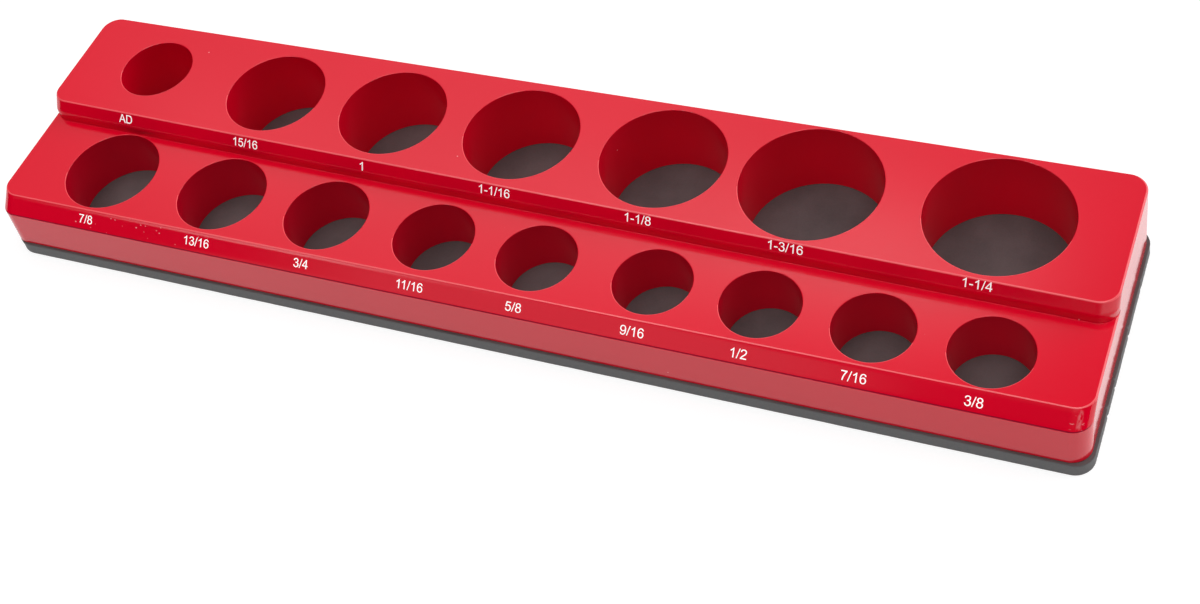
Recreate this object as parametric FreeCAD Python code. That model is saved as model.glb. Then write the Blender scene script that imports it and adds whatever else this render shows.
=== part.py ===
import FreeCAD, Part
import math
import os

# Two-tier socket organizer: a red moulded tray with sixteen round pockets,
# bonded onto a flexible magnet pad that is both its base and the pocket floors.
# Millimetres. +X along the length towards the shallow-labelled right end,
# +Y towards the raised back tier, +Z up. Origin under the middle of the pad.

# ---------------------------------------------------------------- overall sizes
PAD_LENGTH = 370.1          # magnet pad: flush at the left end, a little proud elsewhere
PAD_DEPTH = 87.8
PAD_THICK = 4.5
PAD_R_LEFT = 7.5            # its cut corners, left pair
PAD_R_RIGHT = 6.05          # and right pair
TRAY_OFF_X = -0.55          # middle of the tray, measured from the middle of the pad
TRAY_OFF_Y = 0.10
FILM_THICK = 0.15           # glue film between tray rim and pad

Z_RIM = PAD_THICK + FILM_THICK      # underside of the tray
Z_LOW = 23.0                # lower (front) deck
Z_HIGH = 30.1               # upper (back) deck

HALF_LEN_RIM = 184.50       # tray half length at its rim
HALF_LEN_TOP = 183.97       # tray half length at the upper deck
Y_BACK_RIM = 42.87          # back wall at the rim
Y_BACK_TOP = 42.36          # back wall at the upper deck
CORNER_R = 6.05             # plan radius of every outer corner

# front of the lower tier: drafted wall, then a 45 degree label bevel
Y_FRONT_RIM = -43.05
Y_FRONT_CREASE = -42.19
Z_FRONT_CREASE = 18.08
Y_FRONT_TOP = -37.27

# front of the upper tier: the riser runs about one degree off the length axis
RISER_Y0 = -5.03            # riser foot at X = 0
RISER_SLOPE = -0.01665
LIP_Y0 = -2.65              # riser top edge at X = 0
LIP_SLOPE = -0.01888
Z_RISER_CREASE = 26.16      # where the riser leans back into its label bevel
RISER_SOFT = 0.9            # half height of the soft bend at that crease
RISER_FOOT_R = 0.30         # small moulded fillet at the foot of the riser

EDGE_R = 0.60               # rounding of the deck edges
MOUTH_R = 0.30              # rounding of each pocket mouth

# ---------------------------------------------------------------- hidden inside
WALL = 2.0
DECK = 2.5
SLEEVE_WALL = 1.8

# ---------------------------------------------------------------- pockets
# name, X, Y from the middle of the tray, radius
HIGH_POCKETS = [
    ("adapter", -151.49, 21.82, 12.84),
    ("15_16", -101.70, 19.91, 17.25),
    ("1", -56.34, 19.79, 18.31),
    ("1_1_16", -9.21, 19.73, 19.22),
    ("1_1_8", 39.87, 19.50, 20.30),
    ("1_3_16", 88.01, 19.07, 22.21),
    ("1_1_4", 145.13, 18.63, 22.22),
]
LOW_POCKETS = [
    ("7_8", -148.30, -19.61, 16.44),
    ("13_16", -103.70, -20.43, 15.30),
    ("3_4", -63.35, -20.94, 14.26),
    ("11_16", -23.96, -21.45, 13.33),
    ("5_8", 12.06, -21.91, 12.88),
    ("9_16", 50.67, -22.45, 12.39),
    ("1_2", 84.94, -23.02, 12.36),
    ("7_16", 119.21, -23.57, 12.35),
    ("3_8", 153.31, -24.15, 12.35),
]

# ---------------------------------------------------------------- size marks
INK_THICK = 0.05
EM = 4.04                   # type size; capitals stand 2.9 mm high
# node name, legend, X of its middle, distance of its middle below the deck edge
HIGH_MARKS = [
    ("mark_adapter", "AD", -151.61, 2.10),
    ("mark_15_16", "15/16", -102.57, 2.38),
    ("mark_1", "1", -57.59, 2.45),
    ("mark_1_1_16", "1-1/16", -9.10, 2.16),
    ("mark_1_1_8", "1-1/8", 40.13, 2.06),
    ("mark_1_3_16", "1-3/16", 87.58, 1.90),
    ("mark_1_1_4", "1-1/4", 145.03, 1.74),
]
LOW_MARKS = [
    ("mark_7_8", "7/8", -147.90, 3.26),
    ("mark_13_16", "13/16", -103.64, 3.36),
    ("mark_3_4", "3/4", -64.00, 3.45),
    ("mark_11_16", "11/16", -24.64, 3.50),
    ("mark_5_8", "5/8", 11.16, 3.55),
    ("mark_9_16", "9/16", 50.16, 3.63),
    ("mark_1_2", "1/2", 83.58, 3.70),
    ("mark_7_16", "7/16", 117.91, 3.76),
    ("mark_3_8", "3/8", 152.21, 3.82),
]

V = FreeCAD.Vector


# ---------------------------------------------------------------- outlines
def half_len(z):
    t = (z - Z_RIM) / (Z_HIGH - Z_RIM)
    return HALF_LEN_RIM + (HALF_LEN_TOP - HALF_LEN_RIM) * t


def y_back(z):
    t = (z - Z_RIM) / (Z_HIGH - Z_RIM)
    return Y_BACK_RIM + (Y_BACK_TOP - Y_BACK_RIM) * t


def outline(points, z):
    """Closed wire at height z through (x, y, corner radius) points."""
    n = len(points)
    tangents = []
    for i, (x, y, r) in enumerate(points):
        p = V(x, y, z)
        if r <= 0:
            tangents.append((p, None, p))
            continue
        a = V(points[i - 1][0], points[i - 1][1], z) - p
        b = V(points[(i + 1) % n][0], points[(i + 1) % n][1], z) - p
        a.normalize()
        b.normalize()
        half = math.acos(max(-1.0, min(1.0, a.dot(b)))) / 2
        reach = r / math.tan(half)
        mid = a + b
        mid.normalize()
        centre = p + mid * (r / math.sin(half))
        tangents.append((p + a * reach, centre - mid * r, p + b * reach))
    edges = []
    for i in range(n):
        start, mid, end = tangents[i]
        if mid is not None:
            edges.append(Part.Arc(start, mid, end).toShape())
        nxt = tangents[(i + 1) % n][0]
        edges.append(Part.makeLine(end, nxt))
    return Part.Wire(edges)


def block(sections):
    return Part.makeLoft([outline(p, z) for z, p in sections], True, True)


def low_section(z, inset=0.0, y_rear=15.0):
    """Plan of the front tier at height z; its back end is buried in the back tier."""
    if z <= Z_FRONT_CREASE:
        t = (z - Z_RIM) / (Z_FRONT_CREASE - Z_RIM)
        yf = Y_FRONT_RIM + (Y_FRONT_CREASE - Y_FRONT_RIM) * t
    else:
        t = (z - Z_FRONT_CREASE) / (Z_LOW - Z_FRONT_CREASE)
        yf = Y_FRONT_CREASE + (Y_FRONT_TOP - Y_FRONT_CREASE) * t
    x = half_len(z) - inset
    r = max(CORNER_R - inset, 1.0)
    return (z, [(-x, yf + inset, r), (x, yf + inset, r),
                (x, y_rear, 0), (-x, y_rear, 0)])


def riser_y(x, lean):
    """Front face of the back tier; lean 0 is the upright foot, 1 the deck edge."""
    foot = RISER_Y0 + RISER_SLOPE * x
    lip = LIP_Y0 + LIP_SLOPE * x
    return foot + (lip - foot) * lean


def lean_at(z):
    """Share of the lean back reached at height z, with a soft bend at the crease."""
    rise = Z_HIGH - Z_RISER_CREASE
    d = z - Z_RISER_CREASE
    if d <= -RISER_SOFT:
        return 0.0
    if d >= RISER_SOFT:
        return d / rise
    return (d + RISER_SOFT) ** 2 / (4 * RISER_SOFT) / rise


def high_section(z, forward=0.0):
    x = half_len(z)
    lean = lean_at(z)
    return (z, [(-x, riser_y(-x, lean) - forward, CORNER_R),
                (x, riser_y(x, lean) - forward, CORNER_R),
                (x, y_back(z), CORNER_R), (-x, y_back(z), CORNER_R)])


# ---------------------------------------------------------------- tray
def edges_at(shape, z, tol=1e-4):
    return [e for e in shape.Edges
            if all(abs(v.Z - z) < tol for v in e.Vertexes)
            and abs(e.BoundBox.ZMax - e.BoundBox.ZMin) < tol]


def front_tier():
    body = block([low_section(Z_RIM), low_section(Z_FRONT_CREASE),
                  low_section(Z_LOW)])
    rim = [e for e in edges_at(body, Z_LOW) if e.BoundBox.YMin < 14.0]
    return body.makeFillet(EDGE_R, rim)


def back_tier():
    heights = [Z_LOW + RISER_FOOT_R, Z_RISER_CREASE - RISER_SOFT]
    heights += [Z_RISER_CREASE + RISER_SOFT * k for k in (-0.5, 0.0, 0.5, 1.0)]
    heights += [Z_HIGH]
    sections = [high_section(Z_RIM), high_section(Z_LOW - 0.6),
                high_section(Z_LOW, RISER_FOOT_R),
                high_section(Z_LOW + 0.3 * RISER_FOOT_R, 0.45 * RISER_FOOT_R)]
    sections += [high_section(z) for z in heights]
    body = block(sections)
    return body.makeFillet(EDGE_R, edges_at(body, Z_HIGH))


def cavity():
    """Hollow underside: two open-bottomed chambers under the two decks."""
    low_top = Z_LOW - DECK
    high_top = Z_HIGH - DECK
    r = CORNER_R - WALL

    def low(z, yf):
        x = half_len(z) - WALL
        return (z, [(-x, yf, r), (x, yf, r),
                    (x, y_back(z) - WALL, r), (-x, y_back(z) - WALL, r)])

    front = block([
        low(Z_RIM - 1.0, Y_FRONT_RIM + WALL),
        low(Z_FRONT_CREASE - 0.8, Y_FRONT_CREASE + WALL),
        low(low_top, Y_FRONT_CREASE + WALL + low_top - Z_FRONT_CREASE + 0.8),
    ])

    def high(z):
        x = half_len(z) - WALL
        return (z, [(-x, riser_y(-x, 0) + 3.0, r), (x, riser_y(x, 0) + 3.0, r),
                    (x, y_back(z) - WALL, r), (-x, y_back(z) - WALL, r)])

    back = block([high(Z_RIM + 4.0), high(high_top)])
    return front.fuse(back)


def bore(x, y, r, deck):
    """Round cutter for one pocket, flared by the mouth rounding."""
    f = MOUTH_R
    z0, z1 = Z_RIM - 2.0, deck + 2.0
    s = f * math.sqrt(0.5)
    pts = [V(0, 0, z0), V(r, 0, z0), V(r, 0, deck - f), V(r + f, 0, deck),
           V(r + f, 0, z1), V(0, 0, z1)]
    mid = V(r + f - s, 0, deck - f + s)
    profile = Part.Wire([
        Part.makeLine(pts[0], pts[1]), Part.makeLine(pts[1], pts[2]),
        Part.Arc(pts[2], mid, pts[3]).toShape(),
        Part.makeLine(pts[3], pts[4]), Part.makeLine(pts[4], pts[5]),
        Part.makeLine(pts[5], pts[0])])
    tool = Part.Face(profile).revolve(V(0, 0, 0), V(0, 0, 1), 360)
    tool.translate(V(x, y, 0))
    return tool


def make_tray():
    outer = front_tier().fuse(back_tier()).removeSplitter()
    sleeves = []
    bores = []
    for group, deck in ((HIGH_POCKETS, Z_HIGH), (LOW_POCKETS, Z_LOW)):
        for _, x, y, r in group:
            sleeves.append(Part.makeCylinder(
                r + SLEEVE_WALL, deck - 0.8 - Z_RIM, V(x, y, Z_RIM)))
            bores.append(bore(x, y, r, deck))
    hollow = cavity().cut(Part.makeCompound(sleeves))
    tray = outer.cut(hollow)
    tray = tray.cut(Part.makeCompound(bores))
    return tray


# ---------------------------------------------------------------- pad and film
def make_pad():
    x, y = PAD_LENGTH / 2, PAD_DEPTH / 2
    pts = [(-x, -y, PAD_R_LEFT), (x, -y, PAD_R_RIGHT),
           (x, y, PAD_R_RIGHT), (-x, y, PAD_R_LEFT)]
    return Part.Face(outline(pts, 0.0)).extrude(V(0, 0, PAD_THICK))


def make_film(tray):
    pieces = []
    for face in tray.Faces:
        b = face.BoundBox
        if b.ZMax < Z_RIM + 1e-3:
            pieces.append(face.extrude(V(0, 0, -FILM_THICK)))
    return Part.makeCompound(pieces)


# ---------------------------------------------------------------- lettering
# Plain sans-serif numerals as outlines on a 2048-unit body. Commands: M x y start,
# L x y line, Q cx cy x y quadratic curve, Z close. All coordinates absolute.
GLYPHS = {
    "1": (1139, "M 763 0 L 583 0 L 583 1147 Q 518 1085 412 1023 Q 307 961 223 930 "
                "L 223 1104 Q 374 1175 487 1276 Q 600 1377 647 1472 L 763 1472 Z"),
    "2": (1139, "M 1031 173 L 1031 0 L 62 0 Q 60 65 83 125 Q 120 224 201 320 "
                "Q 283 416 437 542 Q 676 738 760 852 Q 844 967 844 1069 "
                "Q 844 1176 767 1249 Q 691 1323 568 1323 Q 438 1323 360 1245 "
                "Q 282 1167 281 1029 L 96 1048 Q 115 1255 239 1363 "
                "Q 363 1472 572 1472 Q 783 1472 906 1355 Q 1029 1238 1029 1065 "
                "Q 1029 977 993 892 Q 957 807 873 713 Q 790 619 597 456 "
                "Q 436 321 390 273 Q 344 224 314 173 Z"),
    "3": (1139, "M 86 387 L 266 411 Q 297 258 371 190 Q 446 123 553 123 "
                "Q 680 123 767 211 Q 855 299 855 429 Q 855 553 774 633 "
                "Q 693 714 568 714 Q 517 714 441 694 L 461 852 Q 479 850 490 850 "
                "Q 605 850 697 910 Q 789 970 789 1095 Q 789 1194 722 1259 "
                "Q 655 1324 549 1324 Q 444 1324 374 1258 Q 304 1192 284 1060 "
                "L 104 1092 Q 137 1273 254 1372 Q 371 1472 545 1472 "
                "Q 665 1472 766 1420 Q 867 1369 920 1280 Q 974 1191 974 1091 "
                "Q 974 996 923 918 Q 872 840 772 794 Q 902 764 974 669 "
                "Q 1046 575 1046 433 Q 1046 241 906 107 Q 766 -26 552 -26 "
                "Q 359 -26 231 89 Q 104 204 86 387 Z"),
    "4": (1139, "M 662 0 L 662 351 L 26 351 L 26 516 L 695 1466 L 842 1466 "
                "L 842 516 L 1040 516 L 1040 351 L 842 351 L 842 0 Z "
                "M 662 516 L 662 1177 L 203 516 Z"),
    "5": (1139, "M 85 384 L 274 400 Q 295 262 371 192 Q 448 123 556 123 "
                "Q 686 123 776 221 Q 866 319 866 481 Q 866 635 779 724 "
                "Q 693 813 553 813 Q 466 813 396 773 Q 326 734 286 671 L 117 693 "
                "L 259 1446 L 988 1446 L 988 1274 L 403 1274 L 324 880 "
                "Q 456 972 601 972 Q 793 972 925 839 Q 1057 706 1057 497 "
                "Q 1057 298 941 153 Q 800 -25 556 -25 Q 356 -25 229 87 "
                "Q 103 199 85 384 Z"),
    "6": (1139, "M 1019 1111 L 840 1097 Q 816 1203 772 1251 Q 699 1328 592 1328 "
                "Q 506 1328 441 1280 Q 356 1218 307 1099 Q 258 980 256 760 "
                "Q 321 859 415 907 Q 509 955 612 955 Q 792 955 918 822 "
                "Q 1045 690 1045 480 Q 1045 342 985 223 Q 926 105 822 42 "
                "Q 718 -21 586 -21 Q 361 -21 219 144 Q 77 310 77 690 "
                "Q 77 1115 234 1308 Q 371 1476 603 1476 Q 776 1476 886 1379 "
                "Q 997 1282 1019 1111 Z M 284 479 Q 284 386 323 301 "
                "Q 363 216 434 171 Q 505 127 583 127 Q 697 127 779 219 "
                "Q 861 311 861 469 Q 861 621 780 708 Q 699 796 576 796 "
                "Q 454 796 369 708 Q 284 621 284 479 Z"),
    "7": (1139, "M 97 1275 L 97 1448 L 1046 1448 L 1046 1308 Q 906 1159 768 912 "
                "Q 631 665 556 404 Q 502 220 487 0 L 302 0 Q 305 173 370 418 "
                "Q 435 663 556 890 Q 678 1118 815 1275 Z"),
    "8": (1139, "M 362 795 Q 250 836 196 912 Q 142 988 142 1094 Q 142 1254 257 1363 "
                "Q 372 1472 563 1472 Q 755 1472 872 1360 Q 989 1249 989 1089 "
                "Q 989 987 935 911 Q 882 836 773 795 Q 908 751 978 653 "
                "Q 1049 555 1049 419 Q 1049 231 916 103 Q 783 -25 566 -25 "
                "Q 349 -25 216 103 Q 83 232 83 424 Q 83 567 155 663 "
                "Q 228 760 362 795 Z M 326 1100 Q 326 996 393 930 "
                "Q 460 864 567 864 Q 671 864 737 929 Q 804 995 804 1090 "
                "Q 804 1189 735 1256 Q 667 1324 565 1324 Q 462 1324 394 1258 "
                "Q 326 1192 326 1100 Z M 268 423 Q 268 346 304 274 "
                "Q 341 202 413 162 Q 485 123 568 123 Q 697 123 781 206 "
                "Q 865 289 865 417 Q 865 547 778 632 Q 692 717 562 717 "
                "Q 435 717 351 633 Q 268 549 268 423 Z"),
    "9": (1139, "M 112 339 L 285 355 Q 307 233 369 178 Q 431 123 528 123 "
                "Q 611 123 673 161 Q 736 199 776 262 Q 816 326 843 434 "
                "Q 870 542 870 654 Q 870 666 869 690 Q 815 604 721 550 "
                "Q 628 497 519 497 Q 337 497 211 629 Q 85 761 85 977 "
                "Q 85 1200 216 1336 Q 348 1472 546 1472 Q 689 1472 807 1395 "
                "Q 926 1318 987 1175 Q 1049 1033 1049 763 Q 1049 482 988 315 "
                "Q 927 149 806 62 Q 686 -25 524 -25 Q 352 -25 243 70 "
                "Q 134 166 112 339 Z M 849 986 Q 849 1141 766 1232 "
                "Q 684 1323 568 1323 Q 448 1323 359 1225 Q 270 1127 270 971 "
                "Q 270 831 354 743 Q 439 656 563 656 Q 688 656 768 743 "
                "Q 849 831 849 986 Z"),
    "/": (569, "M 0 -25 L 425 1491 L 569 1491 L 145 -25 Z"),
    "-": (682, "M 65 440 L 65 621 L 618 621 L 618 440 Z"),
    "A": (1366, "M -3 0 L 560 1466 L 769 1466 L 1369 0 L 1148 0 L 977 444 "
                "L 364 444 L 203 0 Z M 420 602 L 917 602 L 764 1008 "
                "Q 694 1193 660 1312 Q 632 1171 581 1032 Z"),
    "D": (1479, "M 158 0 L 158 1466 L 663 1466 Q 834 1466 924 1445 "
                "Q 1050 1416 1139 1340 Q 1255 1242 1312 1089 Q 1370 937 1370 741 "
                "Q 1370 574 1331 445 Q 1292 316 1231 231 Q 1170 147 1097 98 "
                "Q 1025 50 922 25 Q 820 0 687 0 Z M 352 173 L 665 173 "
                "Q 810 173 892 200 Q 975 227 1024 276 Q 1093 345 1131 461 "
                "Q 1170 578 1170 744 Q 1170 974 1094 1097 Q 1019 1221 911 1263 "
                "Q 833 1293 660 1293 L 352 1293 Z"),
}
KERN = {"11": -152}


def glyph_face(ch, dx, k):
    """Flat outline of one character in the XY plane, its left edge at dx."""
    words = GLYPHS[ch][1].split()
    wires, edges = [], []
    i = 0
    start = here = None

    def at(a, b):
        return V(dx + float(a) * k, float(b) * k, 0)

    while i < len(words):
        c = words[i]
        if c == "M":
            start = here = at(words[i + 1], words[i + 2])
            edges = []
            i += 3
        elif c == "L":
            p = at(words[i + 1], words[i + 2])
            edges.append(Part.makeLine(here, p))
            here = p
            i += 3
        elif c == "Q":
            q = at(words[i + 1], words[i + 2])
            p = at(words[i + 3], words[i + 4])
            curve = Part.BezierCurve()
            curve.setPoles([here, q, p])
            edges.append(curve.toShape())
            here = p
            i += 5
        else:
            if (here - start).Length > 1e-7:
                edges.append(Part.makeLine(here, start))
            wires.append(Part.Wire(edges))
            i += 1
    return Part.makeFace(wires, "Part::FaceMakerBullseye")


def make_mark(text, centre, right, up):
    """Ink legend lying on a sloping face. right and up are unit vectors in it."""
    k = EM / 2048.0
    pen = 0.0
    last = ""
    faces = []
    for ch in text:
        pen += KERN.get(last + ch, 0) * k
        faces.append(glyph_face(ch, pen, k))
        pen += GLYPHS[ch][0] * k
        last = ch
    box = Part.makeCompound(faces).BoundBox
    mid = V((box.XMin + box.XMax) / 2, 1466 * k / 2, 0)
    out = right.cross(up)
    solids = []
    for face in faces:
        body = face.extrude(V(0, 0, INK_THICK))
        body.translate(mid * -1)
        solids += body.Solids
    mark = Part.makeCompound(solids)
    m = FreeCAD.Matrix(right.x, up.x, out.x, centre.x,
                       right.y, up.y, out.y, centre.y,
                       right.z, up.z, out.z, centre.z,
                       0, 0, 0, 1)
    return placed(mark, m)


def placed(shape, m):
    moved = shape.copy()
    moved.Placement = FreeCAD.Placement(m).multiply(moved.Placement)
    return moved


def high_mark(text, x, down):
    """Legend on the back tier's label bevel, hung from the deck edge."""
    z_soft = Z_RISER_CREASE + RISER_SOFT
    top = V(x, riser_y(x, 1.0), Z_HIGH)
    low = V(x, riser_y(x, lean_at(z_soft)), z_soft)
    along = V(1.0, LIP_SLOPE, 0)
    along.normalize()
    up = top - low
    up = up - along * up.dot(along)
    up.normalize()
    return make_mark(text, top - up * down, along, up)


def low_mark(text, x, down):
    top = V(x, Y_FRONT_TOP, Z_LOW)
    low = V(x, Y_FRONT_CREASE, Z_FRONT_CREASE)
    up = top - low
    up.normalize()
    return make_mark(text, top - up * down, V(1, 0, 0), up)


def on_pad(shape):
    """Moves a piece from the middle of the tray to its place on the pad."""
    step = FreeCAD.Matrix()
    step.move(V(TRAY_OFF_X, TRAY_OFF_Y, 0))
    return shape.transformed(step, True)


def save(shape, node):
    shape.exportStep("parts/" + node + ".step")


os.makedirs("parts", exist_ok=True)
tray = make_tray()
save(on_pad(tray), "tray")
save(on_pad(make_film(tray)), "glue_film")
save(make_pad(), "magnet_pad")
for node, text, x, down in HIGH_MARKS:
    save(on_pad(high_mark(text, x, down)), node)
for node, text, x, down in LOW_MARKS:
    save(on_pad(low_mark(text, x, down)), node)

print("tray valid", tray.isValid(), "solids", len(tray.Solids),
      "volume", round(tray.Volume, 1))
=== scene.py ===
import math

import bpy
from mathutils import Matrix, Vector, noise
from mathutils.geometry import delaunay_2d_cdt


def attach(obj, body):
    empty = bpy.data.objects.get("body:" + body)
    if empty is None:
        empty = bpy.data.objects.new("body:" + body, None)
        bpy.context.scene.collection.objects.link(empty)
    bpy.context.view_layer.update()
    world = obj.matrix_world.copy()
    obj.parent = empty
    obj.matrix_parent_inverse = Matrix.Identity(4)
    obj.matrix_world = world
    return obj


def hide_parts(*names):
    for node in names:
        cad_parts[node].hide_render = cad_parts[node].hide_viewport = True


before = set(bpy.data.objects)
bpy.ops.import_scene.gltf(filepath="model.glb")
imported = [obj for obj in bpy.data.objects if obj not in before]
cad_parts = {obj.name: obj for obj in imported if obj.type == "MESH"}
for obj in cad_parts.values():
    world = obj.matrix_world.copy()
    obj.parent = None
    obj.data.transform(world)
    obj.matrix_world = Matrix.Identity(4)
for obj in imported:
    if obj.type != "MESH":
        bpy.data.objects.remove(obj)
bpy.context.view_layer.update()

MM = 0.001


# ------------------------------------------------------------------ camera
# The first object made: a pinhole camera standing to the front right of the
# tray and looking down onto it.
cam_data = bpy.data.cameras.new("camera")
cam = bpy.data.objects.new("camera", cam_data)
bpy.context.scene.collection.objects.link(cam)
cam_data.sensor_fit = "HORIZONTAL"
cam_data.sensor_width = 36.0
cam_data.lens = 54.04417
cam_data.shift_x = -0.0099043
cam_data.shift_y = -0.0218886
cam_data.clip_start = 0.02
cam_data.clip_end = 60.0
cam.matrix_world = Matrix((
    (0.91768609, -0.1768213, 0.35578993, 0.23042016),
    (0.35599482, 0.76356443, -0.53873654, -0.31563112),
    (-0.17640844, 0.6210504, 0.76365991, 0.43760706),
    (0.0, 0.0, 0.0, 1.0)))
bpy.context.scene.camera = cam
bpy.context.scene.view_settings.view_transform = "Standard"

# ------------------------------------------------------------------ sizes, mm
Z_PAD = 4.5
Z_RIM = 4.65
Z_LOW = 23.0
Z_HIGH = 30.1
HALF_LEN_RIM = 184.50
HALF_LEN_TOP = 183.97
Y_BACK_RIM = 42.87
Y_BACK_TOP = 42.36
CORNER_R = 6.05
Y_FRONT_RIM = -43.05
Y_FRONT_CREASE = -42.19
Z_FRONT_CREASE = 18.08
Y_FRONT_TOP = -37.27
RISER_Y0, RISER_SLOPE = -5.03, -0.01665
LIP_Y0, LIP_SLOPE = -2.65, -0.01888
Z_RISER_CREASE = 26.16
RISER_SOFT = 0.9
RISER_FOOT_R = 0.30
EDGE_R = 0.60
MOUTH_R = 0.30
PAD_X, PAD_Y = 185.05, 43.9
PAD_R_LEFT, PAD_R_RIGHT = 7.5, 6.05
TRAY_OFF = (-0.55, 0.10)           # middle of the tray from the middle of the pad

HIGH_POCKETS = [
    (-151.49, 21.82, 12.84), (-101.70, 19.91, 17.25), (-56.34, 19.79, 18.31),
    (-9.21, 19.73, 19.22), (39.87, 19.50, 20.30), (88.01, 19.07, 22.21),
    (145.13, 18.63, 22.22)]
LOW_POCKETS = [
    (-148.30, -19.61, 16.44), (-103.70, -20.43, 15.30), (-63.35, -20.94, 14.26),
    (-23.96, -21.45, 13.33), (12.06, -21.91, 12.88), (50.67, -22.45, 12.39),
    (84.94, -23.02, 12.36), (119.21, -23.57, 12.35), (153.31, -24.15, 12.35)]


def half_len(z):
    t = (z - Z_RIM) / (Z_HIGH - Z_RIM)
    return HALF_LEN_RIM + (HALF_LEN_TOP - HALF_LEN_RIM) * t


def y_back(z):
    t = (z - Z_RIM) / (Z_HIGH - Z_RIM)
    return Y_BACK_RIM + (Y_BACK_TOP - Y_BACK_RIM) * t


def riser_y(x, lean):
    foot = RISER_Y0 + RISER_SLOPE * x
    lip = LIP_Y0 + LIP_SLOPE * x
    return foot + (lip - foot) * lean


# ------------------------------------------------------------------ mesh maker
class Skin:
    """Collects faces with an exact normal at every corner, then makes one mesh."""

    def __init__(self):
        self.index = {}
        self.points = []
        self.faces = []
        self.seen = set()
        self.normals = []
        self.tag = 0
        self.tags = []

    def point(self, p):
        key = (round(p[0], 3), round(p[1], 3), round(p[2], 3))
        if key not in self.index:
            self.index[key] = len(self.points)
            self.points.append(Vector(p))
        return self.index[key]

    def face(self, pts, nrm):
        ids, keep = [], []
        for p, n in zip(pts, nrm):
            i = self.point(p)
            if i not in ids:
                ids.append(i)
                keep.append(n)
        if len(ids) < 3:
            return
        area = Vector((0, 0, 0))
        q = [self.points[i] for i in ids]
        for k in range(1, len(q) - 1):
            area += (q[k] - q[0]).cross(q[k + 1] - q[0])
        if area.length < 1e-6 or frozenset(ids) in self.seen:
            return
        self.seen.add(frozenset(ids))
        mean = sum((Vector(n) for n in keep), Vector((0, 0, 0)))
        if area.dot(mean) < 0:
            ids.reverse()
            keep.reverse()
        self.faces.append(ids)
        self.tags.append(self.tag)
        self.normals.append([Vector(n).normalized() for n in keep])

    def band(self, low, high, n_low, n_high, skip=None, closed=True):
        n = len(low)
        for i in range(n if closed else n - 1):
            j = (i + 1) % n
            if skip and skip(i):
                continue
            self.face([low[i], low[j], high[j], high[i]],
                      [n_low[i], n_low[j], n_high[j], n_high[i]])

    def flat(self, boundary, holes, z, up=True):
        """Triangulated plane at height z inside boundary and outside the holes."""
        pts, edges = [], []
        for loop in [boundary] + holes:
            start = len(pts)
            pts += [Vector((p[0], p[1])) for p in loop]
            m = len(loop)
            edges += [(start + k, start + (k + 1) % m) for k in range(m)]
        verts, _, faces, _, _, _ = delaunay_2d_cdt(pts, edges, [], 0, 1e-7)
        nz = Vector((0, 0, 1.0 if up else -1.0))

        def inside(loop, x, y):
            hit = False
            for a, b in zip(loop, loop[1:] + loop[:1]):
                if (a[1] > y) != (b[1] > y) and \
                        x < (b[0] - a[0]) * (y - a[1]) / (b[1] - a[1]) + a[0]:
                    hit = not hit
            return hit

        for f in faces:
            cx = sum(verts[i].x for i in f) / len(f)
            cy = sum(verts[i].y for i in f) / len(f)
            if not inside(boundary, cx, cy):
                continue
            if any(inside(h, cx, cy) for h in holes):
                continue
            self.face([(verts[i].x, verts[i].y, z) for i in f], [nz] * len(f))

    def build(self, name, off=(0.0, 0.0)):
        me = bpy.data.meshes.new(name)
        step = Vector((off[0], off[1], 0.0))
        me.from_pydata([tuple((p + step) * MM) for p in self.points], [], self.faces)
        me.polygons.foreach_set("material_index", self.tags)
        me.validate(clean_customdata=False)
        me.shade_smooth()
        flat = [n for f in self.normals for n in f]
        if len(flat) == len(me.loops):
            me.normals_split_custom_set(flat)
        ob = bpy.data.objects.new(name, me)
        bpy.context.scene.collection.objects.link(ob)
        return ob


def plan(points, n_arc=20, n_line=40):
    """Vertices and outward plan normals of a rounded polygon. points: (x, y, r).

    The run after the first corner, which is the front, is cut into n_line parts.
    """
    out = []
    n = len(points)
    for i, (x, y, r) in enumerate(points):
        p = Vector((x, y))
        a = (Vector(points[i - 1][:2]) - p).normalized()
        b = (Vector(points[(i + 1) % n][:2]) - p).normalized()
        half = math.acos(max(-1.0, min(1.0, a.dot(b)))) / 2
        c = p + (a + b).normalized() * (r / math.sin(half))
        t0 = p + a * (r / math.tan(half)) - c
        t1 = p + b * (r / math.tan(half)) - c
        a0 = math.atan2(t0.y, t0.x)
        a1 = math.atan2(t1.y, t1.x)
        while a1 - a0 > math.pi:
            a1 -= 2 * math.pi
        while a1 - a0 < -math.pi:
            a1 += 2 * math.pi
        if i == 1 and n_line > 1:
            p0, d0 = out[-1]
            p1 = c + Vector((math.cos(a0), math.sin(a0))) * r
            for k in range(1, n_line):
                out.append((p0.lerp(p1, k / n_line), d0))
        for k in range(n_arc + 1):
            w = a0 + (a1 - a0) * k / n_arc
            d = Vector((math.cos(w), math.sin(w)))
            out.append((c + d * r, d))
    return out


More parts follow.
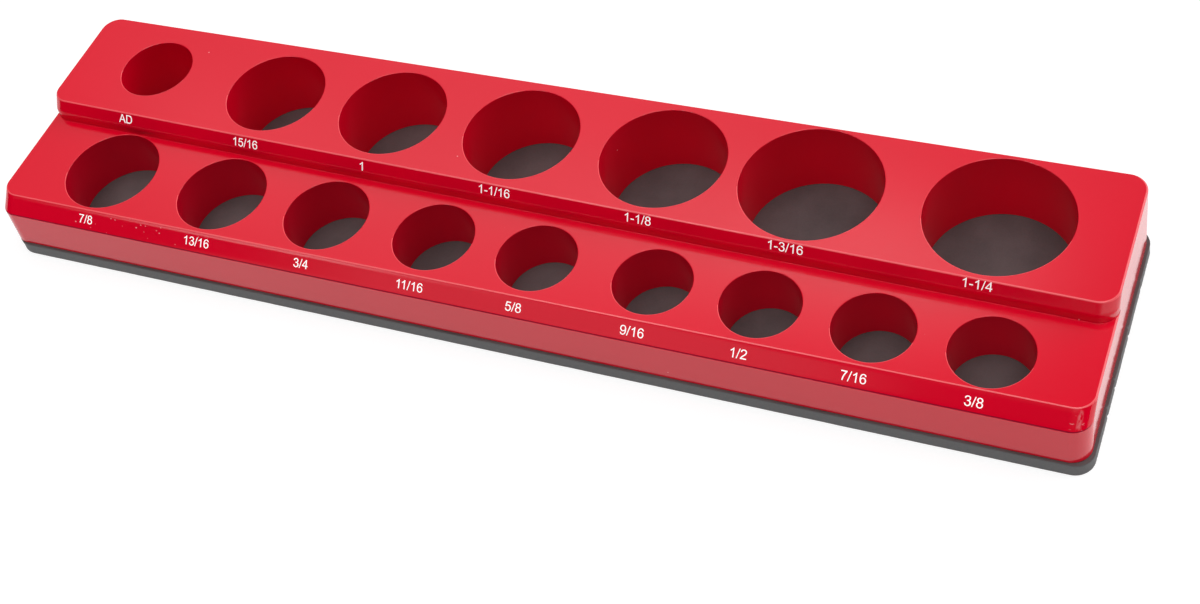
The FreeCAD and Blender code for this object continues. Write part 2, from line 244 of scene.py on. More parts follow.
def rounded_profile(levels, plans, radii, steps):
    """Rings of points and normals up a wall through the given plans.

    levels are heights, plans the matching (point, plan normal) rings, radii the
    rounding at each inner level. Returns a list of (points, normals) rings.
    """
    n = len(plans[0])
    pos = [[Vector((plans[k][i][0].x, plans[k][i][0].y, levels[k]))
            for i in range(n)] for k in range(len(levels))]
    nrm2 = [plans[0][i][1] for i in range(n)]

    def band_normal(k, i):
        d = pos[k + 1][i] - pos[k][i]
        m = nrm2[i]
        out = -(d.x * m.x + d.y * m.y)
        v = Vector((m.x * d.z, m.y * d.z, out))
        return v.normalized()

    rings = [(pos[0], [band_normal(0, i) for i in range(n)])]
    for k in range(1, len(levels) - 1):
        r = radii[k]
        for s in range(steps + 1):
            t = s / steps
            pts, ns = [], []
            for i in range(n):
                n0, n1 = band_normal(k - 1, i), band_normal(k, i)
                turn = n0.angle(n1, 0.0)
                reach = r * math.tan(turn / 2)
                d0 = (pos[k][i] - pos[k - 1][i]).normalized()
                d1 = (pos[k + 1][i] - pos[k][i]).normalized()
                a = pos[k][i] - d0 * reach
                b = pos[k][i] + d1 * reach
                pts.append(a * (1 - t) ** 2 + pos[k][i] * 2 * t * (1 - t) + b * t * t)
                ns.append((n0 * (1 - t) + n1 * t).normalized())
            rings.append((pts, ns))
    last = len(levels) - 1
    rings.append((pos[last], [band_normal(last - 1, i) for i in range(n)]))
    return rings, nrm2


# how the label bevel's face rolls off: share of its height, tilt in degrees
ROLL = [(0.0, -2.4), (0.10, -1.2), (0.22, 0.0), (0.79, 0.0), (0.85, 2.2),
        (0.92, 3.8), (1.0, 4.6)]


def rolled(low, high, plan_normals):
    """Rings up a flat band whose normals roll off a little at both edges."""
    rings = []
    for t, tilt in ROLL:
        pts, ns = [], []
        for a, b, n0, n1, m in zip(low[0], high[0], low[1], high[1], plan_normals):
            up = (b - a).normalized()
            w = math.radians(tilt) * max(0.0, -m.y) ** 2
            n = (n0 * (1 - t) + n1 * t).normalized()
            pts.append(a.lerp(b, t))
            ns.append((n * math.cos(w) + up * math.sin(w)).normalized())
        rings.append((pts, ns))
    return rings


def deck_edge(ring, nrm2, r, steps):
    """Rounds the wall ring's top into the deck. Returns wall end and edge rings."""
    pts, ns = ring
    out = []
    for s in range(steps + 1):
        row_p, row_n = [], []
        for p, wall_n, m in zip(pts, ns, nrm2):
            outward = Vector((m.x, m.y, 0))
            up = Vector((0, 0, 1))
            phi = wall_n.angle(up)
            reach = r * math.tan(phi / 2)
            centre = p - outward * reach - up * r
            w = phi * (1 - s / steps)
            d = outward * math.sin(w) + up * math.cos(w)
            row_p.append(centre + d * r)
            row_n.append(d)
        out.append((row_p, row_n))
    return out


def edge_bands(skin, rings, plan_normals, closed):
    """The deck's rounded edge. It carries a painted highlight along the front and the right end."""
    def painted_highlight(i):
        m = plan_normals[i]
        return m.y < -0.5 or m.x > 0.5

    for (p0, n0), (p1, n1) in zip(rings, rings[1:]):
        for tag, want in ((2, True), (0, False)):
            skin.tag = tag
            skin.band(p0, p1, n0, n1, skip=lambda i: painted_highlight(i) != want, closed=closed)
    skin.tag = 0


def circle(x, y, r, n):
    return [(x + r * math.cos(2 * math.pi * k / n),
             y + r * math.sin(2 * math.pi * k / n)) for k in range(n)]


def pocket(skin, x, y, r, deck, bottom, wall_tag):
    """Mouth rounding and wall of one pocket. Returns its circles in the planes."""
    n = 144
    steps = 5
    rows = []
    for s in range(steps + 1):
        w = math.pi / 2 * s / steps
        rr = r + MOUTH_R - MOUTH_R * math.sin(w)
        zz = deck - MOUTH_R + MOUTH_R * math.cos(w)
        ring = [Vector((a, b, zz)) for a, b in circle(x, y, rr, n)]
        nn = [Vector((-math.cos(2 * math.pi * k / n) * math.sin(w),
                      -math.sin(2 * math.pi * k / n) * math.sin(w), math.cos(w)))
              for k in range(n)]
        rows.append((ring, nn))
    low = [Vector((a, b, bottom)) for a, b in circle(x, y, r, n)]
    rows.append((low, rows[-1][1]))
    for k, ((p0, n0), (p1, n1)) in enumerate(zip(rows, rows[1:])):
        if k >= 2:
            skin.tag = wall_tag if k == steps else 0
            skin.band(p0, p1, n0, n1)
            continue
        for tag, want in ((2, True), (0, False)):   # only the front lip carries the painted highlight
            skin.tag = tag
            skin.band(p0, p1, n0, n1,
                      skip=lambda i: (math.sin(2 * math.pi * i / n) < -0.25) != want)
    skin.tag = 0
    return circle(x, y, r + MOUTH_R, n), circle(x, y, r, n)


# ------------------------------------------------------------------ tray
def make_tray():
    skin = Skin()
    arc = 20
    cuts = 40

    # back tier, closed rings from under the low deck to the high deck
    def high_plan(z, lean, forward=0.0):
        x = half_len(z)
        return plan([(-x, riser_y(-x, lean) - forward, CORNER_R),
                     (x, riser_y(x, lean) - forward, CORNER_R),
                     (x, y_back(z), CORNER_R), (-x, y_back(z), CORNER_R)], arc, cuts)

    z_under = Z_LOW - 1.0
    lv = [z_under, Z_RISER_CREASE, Z_HIGH]
    pl = [high_plan(z_under, 0), high_plan(Z_RISER_CREASE, 0), high_plan(Z_HIGH, 1)]
    # soft bend: reach of 0.9 each way at the crease
    rings, nrm2 = rounded_profile(lv, pl, [0, 3.6, 0], 8)
    edge = deck_edge(rings[-1], nrm2, EDGE_R, 6)
    rings = rings[:-1]
    n_all = len(nrm2)
    front_part = 2 * arc + cuts              # last index of the front corners and line

    for k, ((p0, n0), (p1, n1)) in enumerate(zip(rings, rings[1:] + edge[:1])):
        skin.tag = 1 if 1 <= k <= 8 else 0   # the soft bend has a duller skin
        skin.band(p0, p1, n0, n1)
    edge_bands(skin, edge, nrm2, True)

    # sides and back down to the rim
    rim_plan = high_plan(Z_RIM, 0)
    rim = [Vector((p.x, p.y, Z_RIM)) for p, _ in rim_plan]
    skin.band(rim, rings[0][0], rings[0][1], rings[0][1],
              skip=lambda i: i < front_part)

    # foot fillet of the riser, on the low deck
    foot = []
    steps = 5
    for s in range(steps + 1):
        w = math.pi / 2 * s / steps
        out = RISER_FOOT_R * (1 - math.sin(w))
        z = Z_LOW + RISER_FOOT_R * (1 - math.cos(w))
        row_p, row_n = [], []
        for i in range(front_part + 1):
            p, m = pl[0][i]
            # the front only: the foot dies away where the corner meets the end wall
            share = max(0.0, -m.y)
            q = Vector((p.x, p.y, 0)) + Vector((m.x, m.y, 0)) * (out * share)
            row_p.append(Vector((q.x, q.y, z)))
            row_n.append((Vector((m.x, m.y, 0)) * math.sin(w) +
                          Vector((0, 0, 1)) * math.cos(w)).normalized())
        foot.append((row_p, row_n))
    skin.tag = 1
    for (p0, n0), (p1, n1) in zip(foot, foot[1:]):
        skin.band(p0, p1, n0, n1, closed=False)
    skin.tag = 0

    # front tier: an open strip from the left end wall round to the right one
    left_end = pl[0][0][0]                   # where the riser's corner meets the ends
    right_end = pl[0][front_part][0]

    def low_plan(z, yf):
        x = half_len(z)
        pts = plan([(-x, yf, CORNER_R), (x, yf, CORNER_R),
                    (x, 15.0, 1.0), (-x, 15.0, 1.0)], arc, cuts)[:2 * arc + cuts + 1]
        left = (Vector((-x, left_end.y + 0.02)), Vector((-1, 0)))
        right = (Vector((x, right_end.y + 0.02)), Vector((1, 0)))
        return [left] + pts + [right]

    lv = [Z_RIM, Z_FRONT_CREASE, Z_LOW]
    pl_low = [low_plan(Z_RIM, Y_FRONT_RIM), low_plan(Z_FRONT_CREASE, Y_FRONT_CREASE),
              low_plan(Z_LOW, Y_FRONT_TOP)]
    lrings, lnrm2 = rounded_profile(lv, pl_low, [0, 0.9, 0], 5)
    ledge = deck_edge(lrings[-1], lnrm2, EDGE_R, 6)
    lrings = lrings[:-1]
    # bands going up: end of wall, five across the crease, then the label bevel
    for k, ((p0, n0), (p1, n1)) in enumerate(zip(lrings, lrings[1:])):
        # painted shade: the bands across the crease take a darker red
        skin.tag = 3 if 2 <= k <= 5 else 0
        skin.band(p0, p1, n0, n1, closed=False)
    skin.tag = 0
    plan_normals = [m for _, m in pl_low[-1]]
    face = rolled(lrings[-1], ledge[0], plan_normals)
    for (p0, n0), (p1, n1) in zip(face, face[1:]):
        skin.band(p0, p1, n0, n1, closed=False)
    edge_bands(skin, ledge, lnrm2, False)

    # pockets
    high_holes, low_holes, rim_holes = [], [], []
    for x, y, r in HIGH_POCKETS:
        mouth, wall = pocket(skin, x, y, r, Z_HIGH, Z_RIM, 1)
        high_holes.append(mouth)
        rim_holes.append(wall)
    for x, y, r in LOW_POCKETS:
        # painted shade: wall tag 4 gives these walls the darker pocket red
        mouth, wall = pocket(skin, x, y, r, Z_LOW, Z_RIM, 4)
        low_holes.append(mouth)
        rim_holes.append(wall)

    # decks
    skin.flat([(p.x, p.y) for p in edge[-1][0]], high_holes, Z_HIGH)
    inner = [(p.x, p.y) for p in ledge[-1][0]]
    foot_line = [(p.x, p.y) for p in foot[0][0]]
    x_in = inner[-1][0]
    keep = [p for p in foot_line if abs(p[0]) < x_in - 0.01]
    # close the deck where its edge strip runs into the riser's rounded corner
    first, last = keep[0], keep[-1]
    boundary = [(-x_in, first[1])] + inner[1:-1] + [(x_in, last[1])] + keep[::-1]
    skin.flat(boundary, low_holes, Z_LOW)

    # underside rim plane
    rim_loop = [(p.x, p.y) for p in lrings[0][0]]
    back_loop = [(p.x, p.y) for p in rim[front_part:]] + [(rim[0].x, rim[0].y)]
    skin.flat(rim_loop[1:-1] + back_loop, rim_holes, Z_RIM, up=False)
    return skin.build("tray_skin", TRAY_OFF)


tray = make_tray()
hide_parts("tray")
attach(tray, "root")


# ------------------------------------------------------------------ magnet pad
# small cuts and burrs along the pad's right end: Y, depth (burr if negative), width
PAD_NICKS = [(6.6, 0.34, 0.45), (-4.9, -0.16, 0.5), (-12.3, 0.42, 0.30),
             (-22.3, 0.36, 0.45), (-27.8, -0.10, 0.8), (24.5, 0.15, 0.7)]


def make_pad():
    skin = Skin()
    arc = 14
    base = plan([(-PAD_X, -PAD_Y, PAD_R_LEFT), (PAD_X, -PAD_Y, PAD_R_RIGHT),
                 (PAD_X, PAD_Y, PAD_R_RIGHT), (-PAD_X, PAD_Y, PAD_R_LEFT)], arc, 1)
    ring = []
    for (p, m), (q, m2) in zip(base, base[1:] + base[:1]):
        ring.append((p, m))
        gap = (q - p).length
        pitch = 0.25 if p.x > PAD_X - 0.1 and q.x > PAD_X - 0.1 else 2.0
        parts = int(gap // pitch)
        for k in range(1, parts):
            ring.append((p.lerp(q, k / parts), m))
    levels = [(0.0, 0.04), (0.15, 0.0), (0.5, 0.07), (1.4, 0.12), (2.6, 0.13),
              (3.8, 0.10), (4.25, 0.12), (4.42, 0.18), (4.5, 0.30)]
    rows = []
    for z, inset in levels:
        row = []
        for p, m in ring:
            w = noise.noise(Vector((p.x * 0.09, p.y * 0.09, z * 0.25))) * 0.05
            w += noise.noise(Vector((p.x * 0.7, p.y * 0.7, z * 1.3))) * 0.04
            if m.x > 0.9:
                w += noise.noise(Vector((3.0, p.y * 1.6, z * 2.0))) * 0.05
                for y, depth, width in PAD_NICKS:
                    w += depth * math.exp(-((p.y - y) / width) ** 2)
            q = p - m * max(inset + w, 0.0)
            row.append(Vector((q.x, q.y, z)))
        rows.append(row)
    tilt = [-0.4, -0.2, 0.04, 0.02, 0.0, 0.0, 0.3, 0.8, 1.6]
    norms = [[(Vector((m.x, m.y, 0)) + Vector((0, 0, t))).normalized()
              for _, m in ring] for t in tilt]
    for k in range(len(rows) - 1):
        skin.band(rows[k], rows[k + 1], norms[k], norms[k + 1])
    skin.face([(p.x, p.y, Z_PAD) for p in rows[-1]], [Vector((0, 0, 1))] * len(ring))
    skin.face([(p.x, p.y, 0.0) for p in rows[0]], [Vector((0, 0, -1))] * len(ring))
    return skin.build("magnet_pad_skin")


pad = make_pad()
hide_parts("magnet_pad")
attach(pad, "root")


# ------------------------------------------------------------------ materials
def new_material(name):
    mat = bpy.data.materials.new(name)
    mat.use_nodes = True
    nt = mat.node_tree
    nt.nodes.clear()
    out = nt.nodes.new("ShaderNodeOutputMaterial")
    bsdf = nt.nodes.new("ShaderNodeBsdfPrincipled")
    nt.links.new(bsdf.outputs[0], out.inputs["Surface"])
    coord = nt.nodes.new("ShaderNodeTexCoord")
    return mat, nt, bsdf, coord


def noise_node(nt, vec, scale, detail=3.0, rough=0.5, out="Fac"):
    n = nt.nodes.new("ShaderNodeTexNoise")
    n.inputs["Scale"].default_value = scale
    n.inputs["Detail"].default_value = detail
    n.inputs["Roughness"].default_value = rough
    nt.links.new(vec, n.inputs["Vector"])
    return n.outputs[out]


def remap(nt, value, a, b, c, d, clamp=True):
    m = nt.nodes.new("ShaderNodeMapRange")
    m.clamp = clamp
    m.inputs["From Min"].default_value = a
    m.inputs["From Max"].default_value = b
    m.inputs["To Min"].default_value = c
    m.inputs["To Max"].default_value = d
    nt.links.new(value, m.inputs["Value"])
    return m.outputs["Result"]


def math_node(nt, op, a, b):
    m = nt.nodes.new("ShaderNodeMath")
    m.operation = op
    for k, v in enumerate((a, b)):
        if isinstance(v, (int, float)):
            m.inputs[k].default_value = v
        elif v is not None:
            nt.links.new(v, m.inputs[k])
    return m.outputs[0]


def stretched(nt, vec, sx, sy, sz):
    m = nt.nodes.new("ShaderNodeMapping")
    m.inputs["Scale"].default_value = (sx, sy, sz)
    nt.links.new(vec, m.inputs["Vector"])
    return m.outputs["Vector"]


def specks(nt, vec, scale, size, share):
    """Sparse small round spots: 1 inside a spot. share is how many cells hold one."""
    v = nt.nodes.new("ShaderNodeTexVoronoi")
    v.inputs["Scale"].default_value = scale
    nt.links.new(vec, v.inputs["Vector"])
    spot = remap(nt, v.outputs["Distance"], size, size * 0.55, 0.0, 1.0)
    rgb = nt.nodes.new("ShaderNodeSeparateColor")
    nt.links.new(v.outputs["Color"], rgb.inputs["Color"])
    keep = math_node(nt, "LESS_THAN", rgb.outputs["Red"], share)
    fade = remap(nt, rgb.outputs["Green"], 0.0, 1.0, 0.35, 1.0)
    return math_node(nt, "MULTIPLY", math_node(nt, "MULTIPLY", spot, keep), fade)


def window(nt, value, low, high, soft):
    """1 between low and high, falling to 0 within soft outside them."""
    up = remap(nt, value, low - soft, low, 0.0, 1.0)
    down = remap(nt, value, high, high + soft, 1.0, 0.0)
    return math_node(nt, "MULTIPLY", up, down)


def red_plastic(name, red, level, rough, outside, highlight_tint=(0.0, 0.0)):
    """Glossy moulded red. red: darker and lighter red share, rough: low and high,
    highlight_tint: added green and blue share for a painted highlight."""
    mat, nt, bsdf, coord = new_material(name)
    obj = coord.outputs["Object"]
    bsdf.inputs["IOR"].default_value = 1.53
    bsdf.inputs["Specular IOR Level"].default_value = level
    # broad shade drift and roughness drift of a large moulding
    drift = noise_node(nt, obj, 22.0, 2.0)
    fine = noise_node(nt, obj, 900.0, 3.0)
    mix = nt.nodes.new("ShaderNodeMix")
    mix.data_type = "RGBA"
    nt.links.new(remap(nt, drift, 0.3, 0.7, 0.0, 1.0), mix.inputs["Factor"])
    mix.inputs["A"].default_value = (red[0], 0.0002 + highlight_tint[0], 0.019 + highlight_tint[1], 1)
    mix.inputs["B"].default_value = (red[1], 0.0003 + highlight_tint[0], 0.021 + highlight_tint[1], 1)
    base = mix.outputs["Result"]
    if outside:
        # painted shade: below the crease the front wall's base colour is darkened by up to 15 per
        # cent
        turn = nt.nodes.new("ShaderNodeSeparateXYZ")
        nt.links.new(coord.outputs["Normal"], turn.inputs["Vector"])
        high = nt.nodes.new("ShaderNodeSeparateXYZ")
        nt.links.new(obj, high.inputs["Vector"])
        wall = math_node(nt, "MULTIPLY", remap(nt, turn.outputs["Y"], -0.2, -0.98, 0.0, 0.15),
                         remap(nt, high.outputs["Z"], 0.0176, 0.0173, 0.0, 1.0))
        deep = nt.nodes.new("ShaderNodeMix")
        deep.data_type = "RGBA"
        nt.links.new(wall, deep.inputs["Factor"])
        nt.links.new(base, deep.inputs["A"])
        deep.inputs["B"].default_value = (0.0, 0.0, 0.0, 1)
        base = deep.outputs["Result"]
    gloss = remap(nt, fine, 0.3, 0.7, rough[0], rough[1])

    # dust: a few specks everywhere, a cluster on the label bevel near the left end
    dust = specks(nt, obj, 300.0, 0.085, 0.014)
    parts = nt.nodes.new("ShaderNodeSeparateXYZ")
    nt.links.new(obj, parts.inputs["Vector"])
    x, y, z = parts.outputs["X"], parts.outputs["Y"], parts.outputs["Z"]
    if outside:
        front = remap(nt, y, -0.0368, -0.0374, 0.0, 1.0)
        bevel = math_node(nt, "MULTIPLY", front, remap(nt, z, 0.0176, 0.0182, 0.0, 1.0))
        near = math_node(nt, "MULTIPLY", bevel, window(nt, x, -0.146, -0.112, 0.012))
        many = specks(nt, stretched(nt, obj, 0.8, 1.0, 1.0), 820.0, 0.24,
                      remap(nt, near, 0.2, 1.0, 0.0, 0.42))
        dust = math_node(nt, "MAXIMUM", dust, many)
        # rubbed corner: a pale upright smear and a few short scratches
        smear = math_node(nt, "MULTIPLY", bevel, window(nt, x, 0.1801, 0.1806, 0.0006))
        ragged = noise_node(nt, stretched(nt, obj, 1400.0, 500.0, 500.0), 1.0, 3.0)
        smear = math_node(nt, "MULTIPLY", smear, remap(nt, ragged, 0.40, 0.60, 0.0, 0.40))
        cuts = noise_node(nt, stretched(nt, obj, 300.0, 1200.0, 1200.0), 1.0, 2.0)
        cuts = math_node(nt, "MULTIPLY", remap(nt, cuts, 0.60, 0.66, 0.0, 0.55),
                         math_node(nt, "MULTIPLY", bevel,
                                   window(nt, x, 0.1782, 0.1818, 0.0005)))
        dust = math_node(nt, "MAXIMUM", dust, math_node(nt, "MAXIMUM", smear, cuts))
    dusty = nt.nodes.new("ShaderNodeMix")
    dusty.data_type = "RGBA"
    nt.links.new(math_node(nt, "MULTIPLY", dust, 0.62), dusty.inputs["Factor"])
    nt.links.new(base, dusty.inputs["A"])
    dusty.inputs["B"].default_value = (0.95, 0.55, 0.58, 1)
    nt.links.new(dusty.outputs["Result"], bsdf.inputs["Base Color"])
    nt.links.new(math_node(nt, "ADD", gloss, math_node(nt, "MULTIPLY", dust, 0.4)),
                 bsdf.inputs["Roughness"])

    bump = nt.nodes.new("ShaderNodeBump")
    bump.inputs["Strength"].default_value = 0.25
    bump.inputs["Distance"].default_value = 0.00002
    nt.links.new(noise_node(nt, obj, 160.0, 2.0), bump.inputs["Height"])
    last = bump.outputs["Normal"]
    if outside:
        # long shallow draw lines in the label bevel
        lines = nt.nodes.new("ShaderNodeBump")
        lines.inputs["Distance"].default_value = 0.00002
        nt.links.new(math_node(nt, "MULTIPLY", bevel, 0.8), lines.inputs["Strength"])
        nt.links.new(noise_node(nt, stretched(nt, obj, 9.0, 520.0, 520.0), 1.0, 3.0),
                     lines.inputs["Height"])
        nt.links.new(last, lines.inputs["Normal"])
        last = lines.outputs["Normal"]
    nt.links.new(last, bsdf.inputs["Normal"])
    return mat


def magnet_rubber():
    mat, nt, bsdf, coord = new_material("magnet_rubber")
    obj = coord.outputs["Object"]
    cloud = noise_node(nt, obj, 45.0, 4.0, 0.6)
    mix = nt.nodes.new("ShaderNodeMix")
    mix.data_type = "RGBA"
    nt.links.new(remap(nt, cloud, 0.35, 0.7, 0.0, 1.0), mix.inputs["Factor"])
    mix.inputs["A"].default_value = (0.064, 0.050, 0.051, 1)
    mix.inputs["B"].default_value = (0.101, 0.078, 0.079, 1)
    # the cut sides are a paler, plainer grey than the flat faces
    parts = nt.nodes.new("ShaderNodeSeparateXYZ")
    nt.links.new(obj, parts.inputs["Vector"])
    cut = nt.nodes.new("ShaderNodeMix")
    cut.data_type = "RGBA"
    nt.links.new(window(nt, parts.outputs["Z"], 0.0004, 0.0043, 0.0002), cut.inputs["Factor"])
    nt.links.new(mix.outputs["Result"], cut.inputs["A"])
    cut.inputs["B"].default_value = (0.100, 0.099, 0.101, 1)
    nt.links.new(cut.outputs["Result"], bsdf.inputs["Base Color"])
    grain = noise_node(nt, obj, 1600.0, 3.0)
    nt.links.new(remap(nt, grain, 0.3, 0.7, 0.55, 0.7), bsdf.inputs["Roughness"])
    bsdf.inputs["IOR"].default_value = 1.5
    bump = nt.nodes.new("ShaderNodeBump")
    bump.inputs["Strength"].default_value = 0.5
    bump.inputs["Distance"].default_value = 0.00005
    nt.links.new(grain, bump.inputs["Height"])
    nt.links.new(bump.outputs["Normal"], bsdf.inputs["Normal"])
    return mat


def white_ink():
    mat, nt, bsdf, coord = new_material("white_ink")
    obj = coord.outputs["Object"]
    patch = noise_node(nt, obj, 2200.0, 3.0)
    mix = nt.nodes.new("ShaderNodeMix")
    mix.data_type = "RGBA"
    nt.links.new(remap(nt, patch, 0.3, 0.55, 0.0, 1.0), mix.inputs["Factor"])
    mix.inputs["A"].default_value = (0.95, 0.88, 0.89, 1)
    mix.inputs["B"].default_value = (0.97, 0.96, 0.96, 1)
    nt.links.new(mix.outputs["Result"], bsdf.inputs["Base Color"])
    bsdf.inputs["Roughness"].default_value = 0.45
    # painted light: the ink glows a little, so it looks brighter than the light falling on it makes
    # it
    bsdf.inputs["Emission Color"].default_value = (1, 1, 1, 1)
    bsdf.inputs["Emission Strength"].default_value = 0.32
    return mat


def glue():
    mat, nt, bsdf, coord = new_material("dried_glue")
    obj = coord.outputs["Object"]
    haze = noise_node(nt, obj, 300.0, 3.0)
    nt.links.new(remap(nt, haze, 0.3, 0.7, 0.25, 0.5), bsdf.inputs["Roughness"])
    bsdf.inputs["Base Color"].default_value = (0.10, 0.075, 0.055, 1)
    return mat


RED = red_plastic("red_abs", (0.74, 0.77), 0.5, (0.08, 0.13), True)
RED_POCKET = red_plastic("red_abs_pocket", (0.74, 0.78), 0.18, (0.15, 0.25), False)
# painted shade: the low pockets' walls take a darker copy of the pocket red
RED_POCKET_LOW_SHADE = red_plastic("red_abs_pocket_low_painted_shade", (0.61, 0.65), 0.18, (0.15, 0.25), False)
# painted highlight: a paler, brighter red for the front and right-end edges and the pockets' front
# lips
RED_EDGE_HIGHLIGHT = red_plastic("red_abs_edge_painted_highlight", (0.90, 0.94), 0.6, (0.08, 0.13), False, (0.085, 0.085))
# painted shade: a darker, duller red for the bands across the front crease
RED_CREASE_SHADE = red_plastic("red_abs_crease_painted_shade", (0.34, 0.38), 0.1, (0.3, 0.4), False)
PAD = magnet_rubber()
INK = white_ink()
GLUE = glue()


def dress(ob, mat):
    ob.data.materials.clear()
    ob.data.materials.append(mat)
    for poly in ob.data.polygons:
        poly.material_index = 0


tray.data.materials.append(RED)
tray.data.materials.append(RED_POCKET)
tray.data.materials.append(RED_EDGE_HIGHLIGHT)
tray.data.materials.append(RED_CREASE_SHADE)
tray.data.materials.append(RED_POCKET_LOW_SHADE)
dress(pad, PAD)
for name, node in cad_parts.items():
    if name.startswith("mark_"):
        dress(node, INK)
    elif name == "glue_film":
        dress(node, GLUE)
    elif name == "magnet_pad":
        dress(node, PAD)
    else:
        dress(node, RED)


# ------------------------------------------------------------------ studio
# soft patches of light all round: azimuth and elevation in degrees, sharpness, level
PATCHES = [
    (30, 6, 16, 0.66), (60, 6, 16, 0.61),
    (45, 24, 16, 0.96), (75, 24, 16, 0.94),
    (30, 42, 16, 0.70), (60, 42, 16, 0.98), (120, 42, 16, 0.77),
    (60, 58, 16, 0.69), (180, 58, 16, 0.73), (300, 58, 26, 2.05),
    (0, 74, 16, 0.86), (216, 74, 16, 0.82), (288, 74, 16, 1.10), (0, 90, 16, 0.82),
    (228, 58, 260, 7.0),               # small key that draws the bright edge lines
    # narrow strip, seen only where the label bevel rolls off
    (226.0, 32.4, 2600, 1.6), (228.5, 33.2, 2600, 3.0), (231.0, 34.1, 2600, 3.6),
    (233.5, 34.9, 2600, 2.6), (236.0, 35.7, 2600, 1.4),
    (234.0, 23.4, 2600, 0.8), (236.5, 24.0, 2600, 0.7),
    # long soft tube behind the tray, seen as a paler band along both decks
    (139.0, 40.7, 1800, 0.31), (135.6, 42.6, 1800, 0.34), (131.9, 44.6, 1800, 0.35),
    (128.0, 46.1, 1800, 0.38), (124.0, 47.6, 1800, 0.48), (119.7, 48.9, 1800, 0.80),
    (115.2, 50.0, 1800, 1.15), (110.6, 50.9, 1800, 1.42), (106.0, 51.5, 1800, 1.15),
    (101.8, 51.6, 1800, 0.30),
]
# front left card: azimuth, elevation, inner and outer half angle in degrees, level
CARD = (245, 31, 6, 11, 0.56)

# black flags that keep the right end of the decks deep red, and the front strip
# of the lower deck
FLAGS = [(84, 54, 60, 0.85), (110, 58, 60, 0.33)]

world = bpy.data.worlds.new("studio")
bpy.context.scene.world = world
world.use_nodes = True
wnt = world.node_tree
background = wnt.nodes["Background"]
background.inputs["Color"].default_value = (1, 1, 1, 1)
wcoord = wnt.nodes.new("ShaderNodeTexCoord")
unit = wnt.nodes.new("ShaderNodeVectorMath")
unit.operation = "NORMALIZE"
wnt.links.new(wcoord.outputs["Generated"], unit.inputs[0])
total = None
for azimuth, elevation, sharp, level in PATCHES:
    a, e = math.radians(azimuth), math.radians(elevation)
    dot = wnt.nodes.new("ShaderNodeVectorMath")
    dot.operation = "DOT_PRODUCT"
    wnt.links.new(unit.outputs["Vector"], dot.inputs[0])
    dot.inputs[1].default_value = (math.cos(e) * math.cos(a),
                                   math.cos(e) * math.sin(a), math.sin(e))
    fade = wnt.nodes.new("ShaderNodeMath")
    fade.operation = "MULTIPLY_ADD"
    wnt.links.new(dot.outputs["Value"], fade.inputs[0])
    fade.inputs[1].default_value = sharp
    fade.inputs[2].default_value = math.log(level) - sharp
    glow = wnt.nodes.new("ShaderNodeMath")
    glow.operation = "EXPONENT"
    wnt.links.new(fade.outputs[0], glow.inputs[0])
    if total is None:
        total = glow.outputs[0]
    else:
        add = wnt.nodes.new("ShaderNodeMath")
        add.operation = "ADD"
        wnt.links.new(total, add.inputs[0])
        wnt.links.new(glow.outputs[0], add.inputs[1])
        total = add.outputs[0]
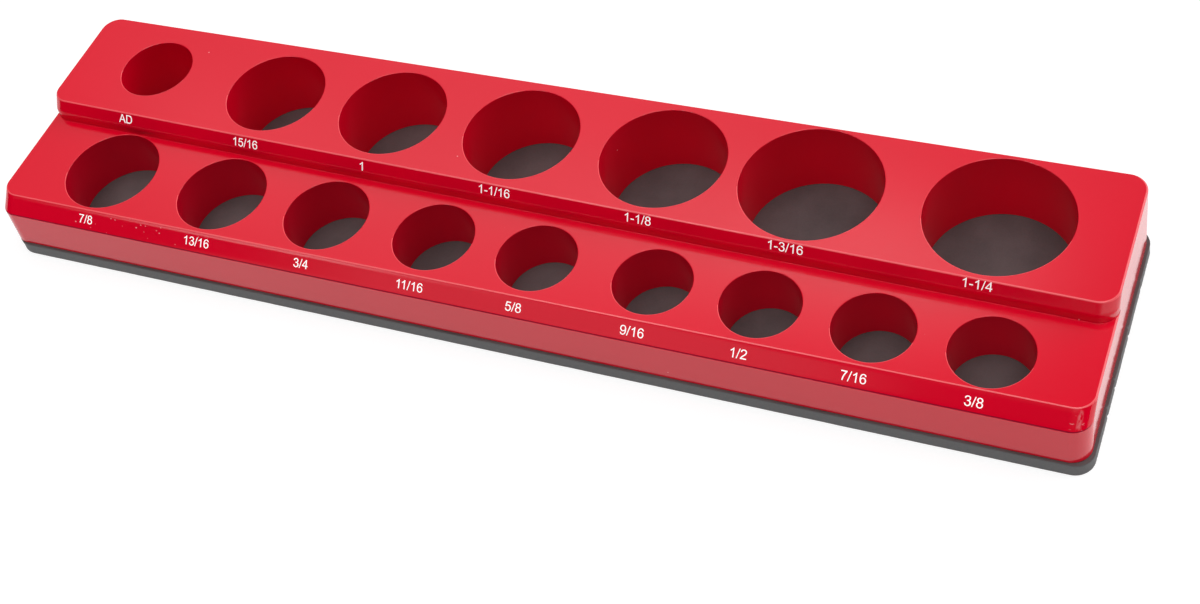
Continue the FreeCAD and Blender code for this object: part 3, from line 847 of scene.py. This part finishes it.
for azimuth, elevation, sharp, level in FLAGS:
    a, e = math.radians(azimuth), math.radians(elevation)
    dot = wnt.nodes.new("ShaderNodeVectorMath")
    dot.operation = "DOT_PRODUCT"
    wnt.links.new(unit.outputs["Vector"], dot.inputs[0])
    dot.inputs[1].default_value = (math.cos(e) * math.cos(a),
                                   math.cos(e) * math.sin(a), math.sin(e))
    fade = wnt.nodes.new("ShaderNodeMath")
    fade.operation = "MULTIPLY_ADD"
    wnt.links.new(dot.outputs["Value"], fade.inputs[0])
    fade.inputs[1].default_value = sharp
    fade.inputs[2].default_value = math.log(level) - sharp
    shade = wnt.nodes.new("ShaderNodeMath")
    shade.operation = "EXPONENT"
    wnt.links.new(fade.outputs[0], shade.inputs[0])
    less = wnt.nodes.new("ShaderNodeMath")
    less.operation = "SUBTRACT"
    wnt.links.new(total, less.inputs[0])
    wnt.links.new(shade.outputs[0], less.inputs[1])
    total = less.outputs[0]
floor_level = wnt.nodes.new("ShaderNodeMath")
floor_level.operation = "MAXIMUM"
wnt.links.new(less.outputs[0], floor_level.inputs[0])
floor_level.inputs[1].default_value = 0.0
total = floor_level.outputs[0]

a, e = math.radians(CARD[0]), math.radians(CARD[1])
dot = wnt.nodes.new("ShaderNodeVectorMath")
dot.operation = "DOT_PRODUCT"
wnt.links.new(unit.outputs["Vector"], dot.inputs[0])
dot.inputs[1].default_value = (math.cos(e) * math.cos(a),
                               math.cos(e) * math.sin(a), math.sin(e))
edge = wnt.nodes.new("ShaderNodeMapRange")
edge.interpolation_type = "SMOOTHSTEP"
edge.inputs["From Min"].default_value = math.cos(math.radians(CARD[3]))
edge.inputs["From Max"].default_value = math.cos(math.radians(CARD[2]))
edge.inputs["To Min"].default_value = 0.0
edge.inputs["To Max"].default_value = CARD[4]
wnt.links.new(dot.outputs["Value"], edge.inputs["Value"])
add = wnt.nodes.new("ShaderNodeMath")
add.operation = "ADD"
wnt.links.new(total, add.inputs[0])
wnt.links.new(edge.outputs["Result"], add.inputs[1])
wnt.links.new(add.outputs[0], background.inputs["Strength"])

# the tray stands on a pale, softly lit table top
floor_mesh = bpy.data.meshes.new("floor")
s = 3.0
FLOOR_Z = -0.0002                   # a hair below the pad, so the two never share a plane
floor_mesh.from_pydata([(-s, -s, FLOOR_Z), (s, -s, FLOOR_Z), (s, s, FLOOR_Z), (-s, s, FLOOR_Z)], [],
                       [(0, 1, 2, 3)])
floor = bpy.data.objects.new("floor", floor_mesh)
bpy.context.scene.collection.objects.link(floor)
fmat, fnt, fbsdf, _ = new_material("pale_floor")
fbsdf.inputs["Base Color"].default_value = (0.40, 0.40, 0.40, 1)
fbsdf.inputs["Roughness"].default_value = 0.9
fbsdf.inputs["Specular IOR Level"].default_value = 0.1
fbsdf.inputs["Emission Color"].default_value = (1, 1, 1, 1)
fbsdf.inputs["Emission Strength"].default_value = 0.70
floor.data.materials.append(fmat)
